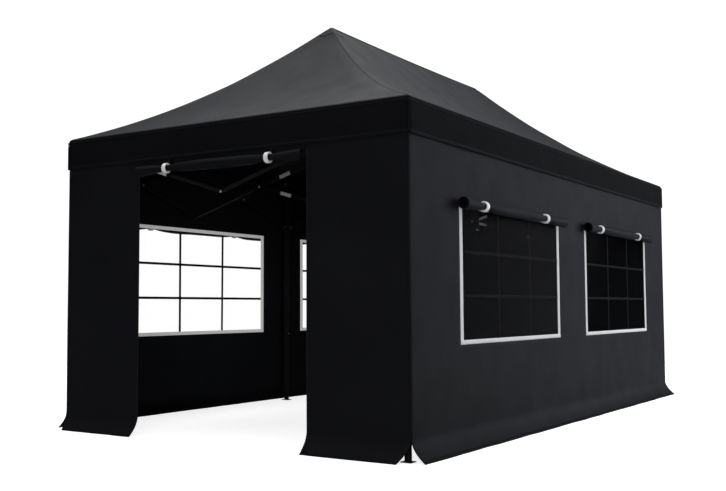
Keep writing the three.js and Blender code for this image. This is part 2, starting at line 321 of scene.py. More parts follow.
ROOF_PAINTED_LIGHT_COLOUR = (0.0166, 0.0171, 0.0204)
# Painted shade: the valance is the same polyester as the roof, but its colour is made darker to stand in for
# the shade on it.
VALANCE_PAINTED_SHADE_COLOUR = (0.0058, 0.0060, 0.0068)
WALL_COLOUR = (0.0068, 0.0070, 0.0082)
# Painted shade: the cloth's inner face is made darker than the outer cloth to stand in for the shade inside
# the gazebo.
COAT_PAINTED_SHADE_COLOUR = (0.0028, 0.0028, 0.0031)
THREAD = (0.030, 0.030, 0.032)
WHITE_TAPE, WHITE_THREAD = (0.84, 0.84, 0.83), (0.60, 0.60, 0.60)
SEAM_ROWS, HEM_ROWS, WEBBING_ROWS, TAPE_ROWS = ((-r, r) for r in (0.004, 0.008, 0.009, 0.011))
M = {
    # The roof's lighter colour is painted light.
    "roof": coated_cloth("canopy_polyester_painted_light", ROOF_PAINTED_LIGHT_COLOUR, specular=0.055),
    # The valance's darker colour is painted shade.
    "valance": coated_cloth("valance_polyester_painted_shade", VALANCE_PAINTED_SHADE_COLOUR, 0.68, specular=0.012),
    "wall": coated_cloth("wall_polyester", WALL_COLOUR, specular=0.045),
    # The inner face's dark colour is painted shade.
    "coat": coated_cloth("inner_coating_painted_shade", COAT_PAINTED_SHADE_COLOUR),
    "roof_seam": stitched_cloth("canopy_seam", ROOF_PAINTED_LIGHT_COLOUR, THREAD, SEAM_ROWS, specular=0.07),
    "valance_seam": stitched_cloth("valance_seam", shade(VALANCE_PAINTED_SHADE_COLOUR, 0.95), THREAD, HEM_ROWS),
    "wall_seam": stitched_cloth("wall_seam", shade(WALL_COLOUR, 0.9), THREAD, HEM_ROWS),
    "tape": stitched_cloth("white_hook_tape", WHITE_TAPE, WHITE_THREAD, TAPE_ROWS),
    # Painted glow: the tape's inside face gets emission that brightens it though it is no lamp.
    "tape_back": stitched_cloth("white_tape_back_painted_glow", WHITE_TAPE, WHITE_THREAD, TAPE_ROWS, painted_glow=0.30),
    "webbing": stitched_cloth("strap_webbing", (0.012, 0.012, 0.013), THREAD, WEBBING_ROWS),
    "lattice": coated_cloth("lattice_tape", (0.0040, 0.0041, 0.0045), 0.7, specular=0.03),
    "film": clear_film(),
    "ring": moulded("white_ring_plastic", (0.90, 0.90, 0.89), 0.35),
    "plastic": moulded("black_nylon", (0.009, 0.009, 0.010), 0.55, 0.12),
    "frame": powder_coat("frame_powder_coat", (0.0080, 0.0082, 0.0088), 0.42),
    "bar": powder_coat("bar_powder_coat", (0.0048, 0.0049, 0.0053), 0.50),
    "inner_leg": powder_coat("inner_leg_powder_coat", (0.0085, 0.0086, 0.0092), 0.40),
    "steel": bright_steel(),
}


# ---- mesh helpers
def mesh_object(name, points, faces, materials, smooth=True, uvs=None):
    """A mesh piece from points, faces, and if given a UV pair for each point."""
    data = bpy.data.meshes.new(name)
    data.from_pydata([tuple(p) for p in points], [], faces)
    for look in materials:
        data.materials.append(M[look])
    if uvs is not None:
        layer = data.uv_layers.new(name="UVMap")
        corner = np.zeros(len(data.loops), np.int32)
        data.loops.foreach_get("vertex_index", corner)
        layer.data.foreach_set("uv", np.asarray(uvs, np.float32)[corner].ravel())
    if smooth:
        data.shade_smooth()
    obj = bpy.data.objects.new(name, data)
    bpy.context.scene.collection.objects.link(obj)
    return obj


def grid_faces(rows, columns, closed=False, keep=None):
    """Quads of a grid of points; `closed` joins its last column to the first."""
    faces = []
    for r in range(rows - 1):
        for c in range(columns if closed else columns - 1):
            d = (c + 1) % columns
            if keep is None or keep[r, c]:
                here, above = r * columns, (r + 1) * columns
                faces.append((here + c, here + d, above + d, above + c))
    return faces


def thicken(obj, thickness, offset=-1.0, inner_slot=0):
    """Gives a sheet its cloth's thickness, on the side away from its normals."""
    solid = obj.modifiers.new("cloth", "SOLIDIFY")
    solid.thickness = thickness
    solid.offset = offset
    solid.use_even_offset = False
    solid.material_offset = inner_slot


def folds(u, v, seed, size):
    """Soft undulation of about -1 to 1, from waves near `size` metres long."""
    count = 7
    draw = np.random.default_rng(seed)
    total = 0
    for _ in range(count):
        turn, length = draw.uniform(0, math.tau), size * draw.uniform(0.6, 1.9)
        k = math.tau / length
        total = total + np.sin(k * (u * math.cos(turn) + v * math.sin(turn)) + draw.uniform(0, math.tau))
    return total * 1.6 / count


def strip(name, path, normals, size, look, crown=0.5):
    """A sewn band along `path`, with a low domed section; `size` is (width, height)."""
    width, height = size
    path, normals = np.asarray(path, float), np.asarray(normals, float)
    along = np.gradient(path, axis=0)
    along /= np.linalg.norm(along, axis=1)[:, None]
    across = np.cross(normals, along)
    across /= np.linalg.norm(across, axis=1)[:, None]
    metres = np.concatenate([[0], np.cumsum(np.linalg.norm(np.diff(path, axis=0), axis=1))])
    section = [(-0.5, -0.3), (-0.5, 1 - crown), (-0.25, 1 - crown / 4), (0, 1)]
    section += [(0.25, 1 - crown / 4), (0.5, 1 - crown), (0.5, -0.3)]
    points, uvs = [], []
    for side, lift in section:
        points.append(path + across * side * width + normals * lift * height)
        uvs.append(np.stack([metres, np.full(len(path), side * width)], 1))
    count = len(section)
    grid = np.stack(points, 1).reshape(-1, 3)
    faces = grid_faces(len(path), count, closed=True)
    faces.append(tuple(range(count))[::-1])
    faces.append(tuple((len(path) - 1) * count + i for i in range(count)))
    return mesh_object(name, grid, faces, [look], uvs=np.stack(uvs, 1).reshape(-1, 2))


def mend(obj):
    """Merges the points that lie together and drops the faces that this closes."""
    work = bmesh.new()
    work.from_mesh(obj.data)
    bmesh.ops.remove_doubles(work, verts=work.verts, dist=1e-6)
    bmesh.ops.recalc_face_normals(work, faces=work.faces)
    work.to_mesh(obj.data)
    work.free()


def only_used(points, faces):
    """Leaves out the points that no face uses."""
    used = sorted(set(v for face in faces for v in face))
    place = {v: k for k, v in enumerate(used)}
    return points[used], [tuple(place[v] for v in face) for face in faces]


def turned(name, profile, look, places, sides):
    """A closed profile of (radius, height), turned about Z and put at each place."""
    points, faces, n = [], [], len(profile)
    for place in places:
        first = len(points)
        for k in range(sides):
            turn = math.tau * k / sides
            points += [place @ Vector((r * math.cos(turn), r * math.sin(turn), h)) for r, h in profile]
        for k in range(sides):
            for i in range(n):
                j, m = (i + 1) % n, (k + 1) % sides
                faces.append(tuple(first + v for v in (k * n + i, m * n + i, m * n + j, k * n + j)))
    obj = mesh_object(name, points, faces, [look])
    mend(obj)
    return obj


SLEEVE_SIDES = 32


def sleeve(name, look, place, form):
    """A rounded rectangular sleeve about Z."""
    points, wall = [], form["wall"]
    loops = ((wall, -0.5), (wall, 0.5), (0, 0.5), (0, -0.5))
    for grow, z in loops:
        soft = form["round"] + grow
        half_w, half_h = (side / 2 + grow - soft for side in form["bore"])
        for k in range(SLEEVE_SIDES):
            turn = math.tau * (k + 0.5) / SLEEVE_SIDES
            x = math.copysign(half_w, math.cos(turn)) + soft * math.cos(turn)
            y = math.copysign(half_h, math.sin(turn)) + soft * math.sin(turn)
            points.append(place @ Vector((x, y, z * form["length"])))
    faces = grid_faces(len(loops), SLEEVE_SIDES, closed=True)
    last = (len(loops) - 1) * SLEEVE_SIDES
    for k in range(SLEEVE_SIDES):
        m = (k + 1) % SLEEVE_SIDES
        faces.append((last + k, last + m, m, k))
    obj = mesh_object(name, points, faces, [look], smooth=False)
    mend(obj)
    edge = obj.modifiers.new("edge", "BEVEL")
    edge.width, edge.segments, edge.limit_method = wall * 0.3, 2, "ANGLE"
    return obj


def fit(obj, body):
    """A rigid piece that rides on one body."""
    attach(obj, body)


def placed(origin, facing, up=UP):
    """The matrix that puts Z along `facing` at `origin`, with Y as near `up` as it can be."""
    z = Vector(facing).normalized()
    x = Vector(up).cross(z)
    x = x.normalized() if x.length > 1e-6 else Vector((1, 0, 0))
    y = z.cross(x)
    rotation = Matrix((x, y, z)).transposed().to_4x4()
    return Matrix.Translation(Vector(origin)) @ rotation


# ---- how fabric follows the frame
CORNERS = {"front_left": (-1, -1), "front_right": (1, -1), "back_left": (-1, 1), "back_right": (1, 1)}
POLES = {"peak_pole_front": -1, "peak_pole_back": 1}
LEAST_SHARE = 1e-5


def carrier_shares(points, roof):
    """How much of each leg's and pole's travel each point takes."""
    lift = np.clip((points[:, 2] - EAVE) / (PEAK - EAVE), 0, 1) if roof else np.zeros(len(points))
    near_pole = np.clip(points[:, 1], -POLE_Y, POLE_Y)
    rest = np.maximum(1 - lift, 1e-6)
    x = np.clip(points[:, 0] / rest, -LEG_X, LEG_X) / LEG_X
    y = np.clip((points[:, 1] - lift * near_pole) / rest, -LEG_Y, LEG_Y) / LEG_Y
    shares = {}
    for corner, (side, end) in CORNERS.items():
        shares[f"{corner}_leg"] = (1 - lift) * (1 + side * x) / 2 * (1 + end * y) / 2
    for body, end in POLES.items():
        shares[body] = lift * (1 + end * near_pole / POLE_Y) / 2
    return shares


def follow(obj, at=None, roof=False):
    """Rides on ROOT and closes up with the frame. A rigid piece follows the cloth at the point `at`."""
    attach(obj, ROOT)
    points = np.array([v.co if at is None else at for v in obj.data.vertices], float)
    hooks = []
    for carrier, share in carrier_shares(points, roof).items():
        if share.max() < LEAST_SHARE:
            continue
        group = obj.vertex_groups.new(name=carrier)
        for index in np.nonzero(share > LEAST_SHARE)[0]:
            group.add([int(index)], float(share[index]), "REPLACE")
        hook = obj.modifiers.new(f"with_{carrier}", "HOOK")
        hook.object = frame["bodies"][carrier]
        hook.vertex_group = carrier
        hook.falloff_type = "NONE"
        hook.matrix_inverse = Matrix.Identity(4)
        hooks.append(hook)
    for place, hook in enumerate(hooks):
        obj.modifiers.move(obj.modifiers.find(hook.name), place)
    return obj


# ---- canopy
FRONT_COLUMNS, SIDE_COLUMNS = 72, 132
ROOF_ROWS, VALANCE_ROWS, TURN_STEPS = 56, 12, 6
HIP_SOFT, HIP_WIDTH = 0.55, 0.35
HANG, RIDGE_HANG, TENSION = 0.018, 0.010, 0.0022
WAVE, LEAN, BELLY = 0.0045, 0.002, 0.003    # how far the valance stands out
BAND_OUT, BAND_ROWS, BAND_CLOTH = 0.0012, 5, 0.0009
PATCH_RADIUS, PATCH_LIFT = 0.11, 0.0013


def smooth_least(a, b, k):
    """The smaller of a and b, rounded where they are within k of each other."""
    k = np.maximum(k, 1e-6)
    h = np.maximum(k - np.abs(a - b), 0) / k
    return np.minimum(a, b) - h * h * k / 4


def roof_height(x, y):
    """The stretched roof: hips that soften towards the eave, and panels that hang a little."""
    tx = (HALF_W - np.abs(x)) / HALF_W
    ty = (HALF_L - np.abs(y)) / HALF_W
    t = np.clip(np.minimum(tx, ty), 0, 1)
    soft = smooth_least(tx, ty, HIP_SOFT * t * (1 - t) ** 1.5)
    soft = np.clip(soft, 0, 1)
    rise = (1 - SAG) * soft + SAG * soft * soft
    panel = 1 - np.exp(-((tx - ty) / HIP_WIDTH) ** 2)
    hang = HANG * np.sin(np.pi * t) * panel
    ridge = RIDGE_HANG * np.clip(1 - (np.abs(y) / POLE_Y) ** 2, 0, 1) * t ** 4
    tension = TENSION * folds(x, y, 11, 0.55) * np.sin(np.pi * t)
    return EAVE + (PEAK - EAVE) * rise - hang - ridge + tension


def roof_points(x, y):
    return np.stack([x, y, roof_height(x, y)], 1)


def perimeter():
    """Points round a square of side 2, one for each column, starting at the front left."""
    corners = [(-1, -1), (1, -1), (1, 1), (-1, 1)]
    out = []
    for side, count in enumerate((FRONT_COLUMNS, SIDE_COLUMNS) * 2):
        (ax, ay), (bx, by) = corners[side], corners[(side + 1) % 4]
        for k in range(count):
            f = k / count
            out.append((ax + (bx - ax) * f, ay + (by - ay) * f))
    return np.array(out)


UNIT = perimeter()


def outline(out, z):
    """The canopy's outline at height z, moved out by `out`."""
    x, y = UNIT[:, 0] * (HALF_W + out), UNIT[:, 1] * (HALF_L + out)
    return np.stack([x, y, np.full(len(UNIT), z)], 1)


def valance_out(drop):
    """How far the valance stands out at `drop` (0 top, 1 hem), with slow waves along it."""
    along = UNIT[:, 0] * HALF_W + UNIT[:, 1] * HALF_L * 1.7
    wave = WAVE * folds(along, 0 * along, 5, 0.8)
    return drop * (wave + LEAN) + BELLY * np.sin(np.pi * drop)


def eave_turn():
    """(inset, height) round the eave's edge, from the roof's slope to the upright valance."""
    slope = math.atan2((PEAK - EAVE) * (1 - SAG), HALF_W)
    turn = math.pi / 2 - slope
    fall = EAVE_SOFT * math.tan(turn / 2)
    arc = [turn - turn * k / TURN_STEPS for k in range(TURN_STEPS + 1)]
    return [(EAVE_SOFT * (1 - math.cos(a)), EAVE - fall + EAVE_SOFT * math.sin(a)) for a in arc]


EAVE_TURN = eave_turn()
VALANCE_TOP = EAVE_TURN[-1][1]


def canopy():
    """The roof, its round eave and the valance, as one sheet."""
    rows = []
    for r in range(ROOF_ROWS):
        inset = HALF_W + (EAVE_TURN[0][0] - HALF_W) * r / ROOF_ROWS
        x, y, _ = outline(-inset, EAVE).T
        rows.append(roof_points(x, y))
    for inset, z in EAVE_TURN[:-1]:
        rows.append(outline(-inset, z))
    for r in range(VALANCE_ROWS + 1):
        drop = r / VALANCE_ROWS
        z = VALANCE_TOP + (VALANCE_HEM - VALANCE_TOP) * r / VALANCE_ROWS
        rows.append(outline(valance_out(drop), z))
    faces = [f[::-1] for f in grid_faces(len(rows), len(UNIT), closed=True)]
    sheet = mesh_object("canopy_sheet", np.concatenate(rows), faces, ["roof", "coat", "valance", "coat"])
    for face in sheet.data.polygons[(ROOF_ROWS + len(EAVE_TURN) // 2) * len(UNIT):]:
        face.material_index = 2
    weld = sheet.modifiers.new("peaks", "WELD")
    weld.merge_threshold = 1e-5
    thicken(sheet, CLOTH, inner_slot=1)
    follow(sheet, roof=True)
    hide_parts("canopy")
    return sheet


def surface_normals(path, step=0.004):
    """Unit normals of the roof at each plan point of a path."""
    out = []
    for x, y in path:
        dx = (roof_height(x + step, y) - roof_height(x - step, y)) / (2 * step)
        dy = (roof_height(x, y + step) - roof_height(x, y - step)) / (2 * step)
        out.append(Vector((-dx, -dy, 1)).normalized())
    return np.array(out)


def hip_seam(corner, side, end):
    """The felled seam from a roof corner up to its pole."""
    steps = np.linspace(0.016, 0.985, 50)
    path = roof_points(side * HALF_W * (1 - steps), end * (HALF_L - HALF_W * steps))
    normals = surface_normals(path[:, :2]) * 0.4 + np.array([0, 0, 0.6])
    normals /= np.linalg.norm(normals, axis=1)[:, None]
    return strip(f"hip_seam_{corner}", path, normals, HIP_SEAM, "roof_seam")


def ridge_seam():
    y = np.linspace(-POLE_Y + 0.02, POLE_Y - 0.02, 60)
    up = np.tile([0.0, 0.0, 1.0], (len(y), 1))
    return strip("ridge_seam", roof_points(0 * y, y), up, RIDGE_SEAM, "roof_seam")


def corner_seam(corner, side, end):
    """The upright seam at a corner of the valance."""
    drop = np.linspace((EAVE - VALANCE_TOP) / VALANCE_DEPTH, 1, 10)
    x = np.full(len(drop), side * (HALF_W + BELLY))
    y = np.full(len(drop), end * (HALF_L + BELLY))
    path = np.stack([x, y, EAVE - VALANCE_DEPTH * drop], 1)
    out = np.tile(Vector((side, end, 0)).normalized(), (len(drop), 1))
    return strip(f"corner_seam_{corner}", path, out, CORNER_SEAM, "valance_seam")


def canopy_seams():
    seams = [hip_seam(corner, *ends) for corner, ends in CORNERS.items()]
    seams.append(ridge_seam())
    seams += [corner_seam(corner, *ends) for corner, ends in CORNERS.items()]
    return [follow(seam, roof=True) for seam in seams]


def peak_patches():
    """A disc of double cloth over the top of each pole."""
    patches = []
    rings, spokes = np.linspace(0, PATCH_RADIUS, 8), np.linspace(0, math.tau, 49)[:-1]
    for name, end in (("front", -1), ("back", 1)):
        x = rings[:, None] * np.cos(spokes)[None, :]
        y = end * POLE_Y + rings[:, None] * np.sin(spokes)[None, :]
        points = np.stack([x, y, roof_height(x, y) + PATCH_LIFT], 2).reshape(-1, 3)
        faces = grid_faces(len(rings), len(spokes), closed=True)
        patch = mesh_object(f"peak_patch_{name}", points, faces, ["roof"])
        mend(patch)
        thicken(patch, CLOTH)
        patches.append(follow(patch, roof=True))
    return patches


def loop_band(name, low, high, crown):
    """A band that runs right round the canopy, following the valance's waves."""
    grid, uvs = [], []
    metres = np.linspace(0, 4 * (HALF_W + HALF_L), len(UNIT))
    for r in range(BAND_ROWS):
        share = r / (BAND_ROWS - 1)
        z = high + (low - high) * share
        drop = min(1.0, max(0.0, (VALANCE_TOP - z) / (VALANCE_TOP - VALANCE_HEM)))
        dome = crown * math.sin(math.pi * share)
        grid.append(outline(valance_out(drop) + BAND_OUT + dome, z))
        uvs.append(np.stack([metres, np.full(len(UNIT), (share - 0.5) * (high - low))], 1))
    faces = [f[::-1] for f in grid_faces(BAND_ROWS, len(UNIT), closed=True)]
    band = mesh_object(name, np.concatenate(grid), faces, ["valance_seam"], uvs=np.concatenate(uvs))
    thicken(band, BAND_CLOTH)
    return follow(band, roof=True)


def whole_canopy():
    """The canopy with its seams, patches and bands."""
    sheet = canopy()
    trim = canopy_seams() + peak_patches()
    trim.append(loop_band("valance_hem", VALANCE_HEM - 0.001, VALANCE_HEM + 0.022, 0.0012))
    trim.append(loop_band("eave_seam", VALANCE_TOP - 0.012, VALANCE_TOP - 0.002, 0.0008))


whole_canopy()


# ---- walls
# The middle of each wall's foot at its inner face, the way along it, the way out, and its folds' seed.
WALLS = {
    "right": (Vector((SIDE_X, 0, 0)), Vector((0, 1, 0)), Vector((1, 0, 0)), 21),
    "left": (Vector((-SIDE_X, 0, 0)), Vector((0, -1, 0)), Vector((-1, 0, 0)), 22),
    "front": (Vector((0, -END_Y, 0)), Vector((1, 0, 0)), Vector((0, -1, 0)), 23),
    "back": (Vector((0, END_Y, 0)), Vector((-1, 0, 0)), Vector((0, 1, 0)), 24),
}
WALL_HALF = {"right": SIDE_HALF, "left": SIDE_HALF, "front": END_HALF, "back": END_HALF}


def skirt_share(z):
    """0 above the skirt, 1 at the ground."""
    return np.clip(1 - z / SKIRT_HEIGHT, 0, 1)


def skirt_lean(z):
    """The angle that the skirt's face leans back by."""
    return np.arctan(2 * FLARE * skirt_share(z) / SKIRT_HEIGHT)


def wall_out(u, z, seed):
    """How far a wall stands out: slow waves that grow downwards, then the skirt's curve."""
    s = skirt_share(z)
    low = np.clip((1.95 - z) / 1.2, 0, 1)
    wave = 0.0030 * low * (1 + folds(u, z * 0.35, seed, 0.9))
    drape = 0.005 * s * (1 + folds(u, 0 * z, seed + 1, 0.35))
    return CLOTH + wave * (1 - s) + drape + (FLARE - 0.006) * s * s


def wall_point(wall, u, z, proud=0.0):
    """Points `proud` of a wall's outer face. The end walls' skirts narrow at their ends."""
    base, a, o = (np.array(v) for v in WALLS[wall][:3])
    u, z = np.broadcast_arrays(np.asarray(u, float), np.asarray(z, float))
    lean = skirt_lean(z)
    push = wall_out(u, z, WALLS[wall][3]) + proud * np.cos(lean)
    height = z + proud * np.sin(lean)
    if wall in ("front", "back"):
        s = skirt_share(z)
        near_end = np.clip((np.abs(u) - (END_HALF - SKIRT_CUT["from"])) / SKIRT_CUT["from"], 0, 1)
        u = u - np.sign(u) * SKIRT_CUT["back"] * near_end * s * s
    return base + u[..., None] * a + push[..., None] * o + height[..., None] * np.array(UP)


def wall_normals(wall, u, z):
    u, z = np.broadcast_arrays(np.asarray(u, float), np.asarray(z, float))
    lean = skirt_lean(z)
    out = np.array(WALLS[wall][2])
    return np.cos(lean)[..., None] * out + np.sin(lean)[..., None] * np.array(UP)


def levels(marks, step):
    """Sorted values that hit every mark and are never more than `step` apart."""
    marks = sorted(set(round(m, 6) for m in marks))
    out = []
    for a, b in zip(marks, marks[1:]):
        count = max(1, math.ceil((b - a) / step))
        out += [a + (b - a) * k / count for k in range(count)]
    return np.array(out + [marks[-1]])


def wall_sheet(wall, holes):
    """One wall as a sheet, with `holes` as (u0, u1, z0, z1) left open."""
    half = WALL_HALF[wall]
    us = levels([-half, half] + [h for hole in holes for h in hole[:2]], 0.035)
    zs = levels([HEM_Z, SKIRT_HEIGHT, WALL_TOP] + [h for hole in holes for h in hole[2:]], 0.03)
    fine = levels([HEM_Z, SKIRT_HEIGHT], 0.014)
    zs = np.array(sorted(set(np.round(np.concatenate([fine, zs[zs > SKIRT_HEIGHT]]), 6))))
    grid = wall_point(wall, us[None, :], zs[:, None]).reshape(-1, 3)
    middle_u, middle_z = (us[1:] + us[:-1]) / 2, (zs[1:] + zs[:-1]) / 2
    keep = np.ones((len(zs) - 1, len(us) - 1), bool)
    for u0, u1, z0, z1 in holes:
        in_u, in_z = (middle_u > u0) & (middle_u < u1), (middle_z > z0) & (middle_z < z1)
        keep &= ~(in_u[None, :] & in_z[:, None])
    grid, faces = only_used(grid, grid_faces(len(zs), len(us), keep=keep))
    sheet = mesh_object(f"{wall}_wall_sheet", grid, faces, ["wall", "coat"])
    thicken(sheet, CLOTH, inner_slot=1)
    follow(sheet)
    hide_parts(f"{wall}_wall")
    return sheet


def wall_strip(name, wall, us, zs, size, look, proud=0.0004):
    """A sewn strip on a wall's outer face along the points (us, zs)."""
    path = wall_point(wall, us, zs, proud)
    return follow(strip(name, path, wall_normals(wall, us, zs), size, look))


def upright_run(low, top, below, above):
    """Heights up a wall: `below` of them on the skirt, then `above` of them to just under `top`."""
    on_skirt = np.linspace(low, SKIRT_HEIGHT, below)
    return np.concatenate([on_skirt, np.linspace(SKIRT_HEIGHT + 0.05, top - 0.01, above)])


def wall_edges(wall, spans):
    """The bottom hem over each span of u, and a binding up each end of it."""
    pieces = []
    for k, (u0, u1) in enumerate(spans):
        us = np.linspace(u0 + 0.002, u1 - 0.002, max(8, int((u1 - u0) / 0.04)))
        name = f"{wall}_bottom_hem_{k + 1}"
        pieces.append(wall_strip(name, wall, us, np.full(len(us), 0.012), BOTTOM_HEM, "wall_seam"))
        zs = upright_run(0.004, WALL_TOP, 16, 36)
        for edge, u in (("start", u0 + 0.012), ("end", u1 - 0.012)):
            name = f"{wall}_{edge}_binding_{k + 1}"
            pieces.append(wall_strip(name, wall, np.full(len(zs), u), zs, BINDING, "wall_seam"))
    return pieces


def window_spans():
    """The (start, end) of a long wall's two windows, along the wall."""
    half = WINDOW_WIDTH / 2
    middles = (WINDOW_SHIFT - WINDOW_MIDDLE, WINDOW_SHIFT + WINDOW_MIDDLE)
    return [(middle - half, middle + half) for middle in middles]


def window_film(wall, tag, span):
    """The clear sheet over a window's opening, under the tape."""
    us = levels([span[0] + 0.008, span[1] - 0.008], 0.05)
    zs = levels([WINDOW_LOW + 0.005, WINDOW_TOP - 0.005], 0.05)
    grid = wall_point(wall, us[None, :], zs[:, None], 0.0002).reshape(-1, 3)
    film = mesh_object(f"{tag}_film", grid, grid_faces(len(zs), len(us)), ["film"])
    follow(film)
    thicken(film, 0.0005)
    return film


def window_lattice(wall, tag, span):
    """Two upright and two cross tapes, which part the window into nine panes."""
    made = []
    left, right = span[0] + TAPE_SIDE, span[1] - TAPE_SIDE
    low, high = WINDOW_LOW + TAPE_EDGE, WINDOW_TOP - TAPE_EDGE
    for k in (1, 2):
        u, z = np.full(24, left + (right - left) * k / 3), np.linspace(low, high, 24)
        made.append(wall_strip(f"{tag}_upright_{k}", wall, u, z, UPRIGHT, "lattice"))
        u, z = np.linspace(left, right, 40), np.full(40, low + (high - low) * k / 3)
        made.append(wall_strip(f"{tag}_crossbar_{k}", wall, u, z, CROSSBAR, "lattice"))
    return made


def window_tapes(wall, tag, span):
    """The white tape round a window, sewn on both faces of the wall."""
    made = []
    z = np.linspace(WINDOW_LOW, WINDOW_TOP, 32)
    u = np.linspace(*span, 60)
    runs = [
        ("start", np.full(len(z), span[0] + TAPE_SIDE / 2), z, TAPE_SIDE, 0.0004),
        ("end", np.full(len(z), span[1] - TAPE_SIDE / 2), z, TAPE_SIDE, 0.0004),
        ("sill", u, np.full(len(u), WINDOW_LOW + TAPE_EDGE / 2), TAPE_EDGE, 0.0009),
        ("top", u, np.full(len(u), WINDOW_TOP - TAPE_EDGE / 2), TAPE_EDGE, 0.0009),
    ]
    for edge, us, zs, width, lift in runs:
        # The inside tapes take the material with the painted glow.
        inside = ("tape_inside", TAPE_INSIDE, "tape_back", TAPE_INSIDE - lift)
        for face, height, look, proud in (("tape", TAPE_PROUD, "tape", lift), inside):
            name = f"{tag}_{edge}_{face}"
            made.append(wall_strip(name, wall, us, zs, (width, height), look, proud))
    return made


def roll_profile(us, rings, roll, seed):
    """A rolled flap's radius along its length: full, drawn in at its rings, and slack at its ends."""
    pinch = sum(np.exp(-(np.abs(us - ring) / 0.115) ** 1.5) for ring in rings)
    pinch = np.minimum(pinch, 1)
    ends = np.minimum(us - us[0], us[-1] - us)
    radius = roll["full"] * (1 + 0.03 * folds(us, 0 * us, seed, 0.5) + 0.05 * np.exp(-(ends / 0.10) ** 2))
    return radius * (1 - pinch) + roll["neck"] * pinch, pinch


def rolled_flap(name, wall, span, roll, rings, tail_z, seed):
    """A flap rolled into a spiral and drawn in by its rings, its tail sewn to the wall at tail_z."""
    origin, along, out = (np.array(v) for v in WALLS[wall][:3])
    us = levels([span[0], span[1], *rings], 0.016)
    angles = np.linspace(0, math.tau * roll["turns"], int(30 * roll["turns"]))
    grow = roll["core"] + (1 - roll["core"]) * angles / angles[-1]
    turn = angles - angles[-1] + math.pi
    tail = np.linspace(0, 1, 6)[1:]
    radii, pinch = roll_profile(us, rings, roll, seed)
    droop = (1 - pinch) * (0.003 + 0.003 * folds(us, 0 * us, seed + 2, 0.6))
    rows = []
    for u, radius, drop, tight in zip(us, radii, droop, pinch):
        crease = (0.018 + 0.035 * tight) * np.sin(3 * angles + 7 * u) + 0.02 * np.sin(7 * angles - 11 * u)
        reach = radius * grow * (1 + crease)
        push = roll["centre"][0] + np.cos(turn) * reach
        high = roll["centre"][1] - drop + np.sin(turn) * reach
        push = np.concatenate([push, push[-1] + (TAIL_OUT - push[-1]) * tail])
        high = np.concatenate([high, high[-1] + (tail_z - high[-1]) * tail])
        rows.append(origin + u * along + push[:, None] * out + high[:, None] * np.array(UP))
    columns = len(angles) + len(tail)
    keep = np.ones((len(us), columns), bool)
    keep[pinch > 0.8, len(angles) - 1:] = False
    grid, faces = only_used(np.concatenate(rows), grid_faces(len(us), columns, keep=keep))
    flap = mesh_object(name, grid, faces, ["wall", "coat"])
    thicken(flap, 0.0009, offset=0.0)
    follow(flap)
    length = math.pi * roll["turns"] * roll["full"] * (1 + roll["core"]) + abs(tail_z - roll["centre"][1])
    return flap, span[1] - span[0], length


def ring_profile():
    """The ring's section as (radius, height) points: a short sleeve with round edges."""
    outer, inner, half, soft = RING["outer"], RING["inner"], RING["half"], RING["round"]
    corners = ((outer, half, 0), (inner, half, 90), (inner, -half, 180), (outer, -half, 270))
    profile = []
    for radius, height, start in corners:
        middle_r = radius - soft if radius == outer else radius + soft
        middle_h = height - math.copysign(soft, height)
        for k in range(5):
            angle = math.radians(start + 90 * k / 4)
            profile.append((middle_r + soft * math.cos(angle), middle_h + soft * math.sin(angle)))
    return profile


def ring_and_tab(tag, wall, u, centre, tab_top):
    """A white ring round a roll, and the webbing tab that holds it to the wall."""
    origin, along, out, _ = WALLS[wall]
    middle = origin + along * u + out * centre[0] + UP * centre[1]
    ring = turned(f"{tag}_ring", ring_profile(), "ring", [placed(middle, along + out * 0.04)], 44)
    z = np.linspace(tab_top, centre[1] - 0.01, 12)
    bulge = 0.0015 + 0.003 * np.sin(np.linspace(0, math.pi, len(z)))
    path = np.array(origin) + u * np.array(along) + bulge[:, None] * np.array(out) + z[:, None] * np.array(UP)
    tab = strip(f"{tag}_tab", path, np.tile(np.array(out), (len(z), 1)), RING_TAB, "webbing", crown=0.2)
    follow(ring, at=middle)
    follow(tab, at=middle)
    return [ring, tab]


def rolled_cover(name, tie, wall, span, roll, rings, tail_z, tab_top, seed):
    """A rolled flap held up by its rings and tabs; returns the flap."""
    flap, width, length = rolled_flap(name, wall, span, roll, rings, tail_z, seed)
    ties = []
    for n, u in enumerate(rings):
        ties += ring_and_tab(f"{tie}_{n + 1}", wall, u, roll["centre"], tab_top)
    return flap


def windows(wall):
    """A side wall's windows, with their covers rolled up over them."""
    trim = []
    for k, span in enumerate(window_spans()):
        tag = f"{wall}_window_{k + 1}"
        trim.append(window_film(wall, tag, span))
        trim += window_lattice(wall, tag, span) + window_tapes(wall, tag, span)
        rings = sorted(span[0] + r if wall == "right" else span[1] - r for r in WINDOW_RINGS)
        rolled_cover(
            f"{tag}_cover_roll", f"{tag}_tie", wall, (span[0] - 0.03, span[1] + 0.01), WINDOW_ROLL, rings,
            WINDOW_TOP + 0.018, WINDOW_ROLL["centre"][1] + 0.055, 31 + 7 * k + len(wall),
        )
    return trim


def hang_wall(wall, spans, holes=()):
    """A wall with its bottom hem over each of the spans, and a side wall's windows."""
    sheet = wall_sheet(wall, holes)
    trim = wall_edges(wall, spans)
    if wall in ("right", "left"):
        trim += windows(wall)


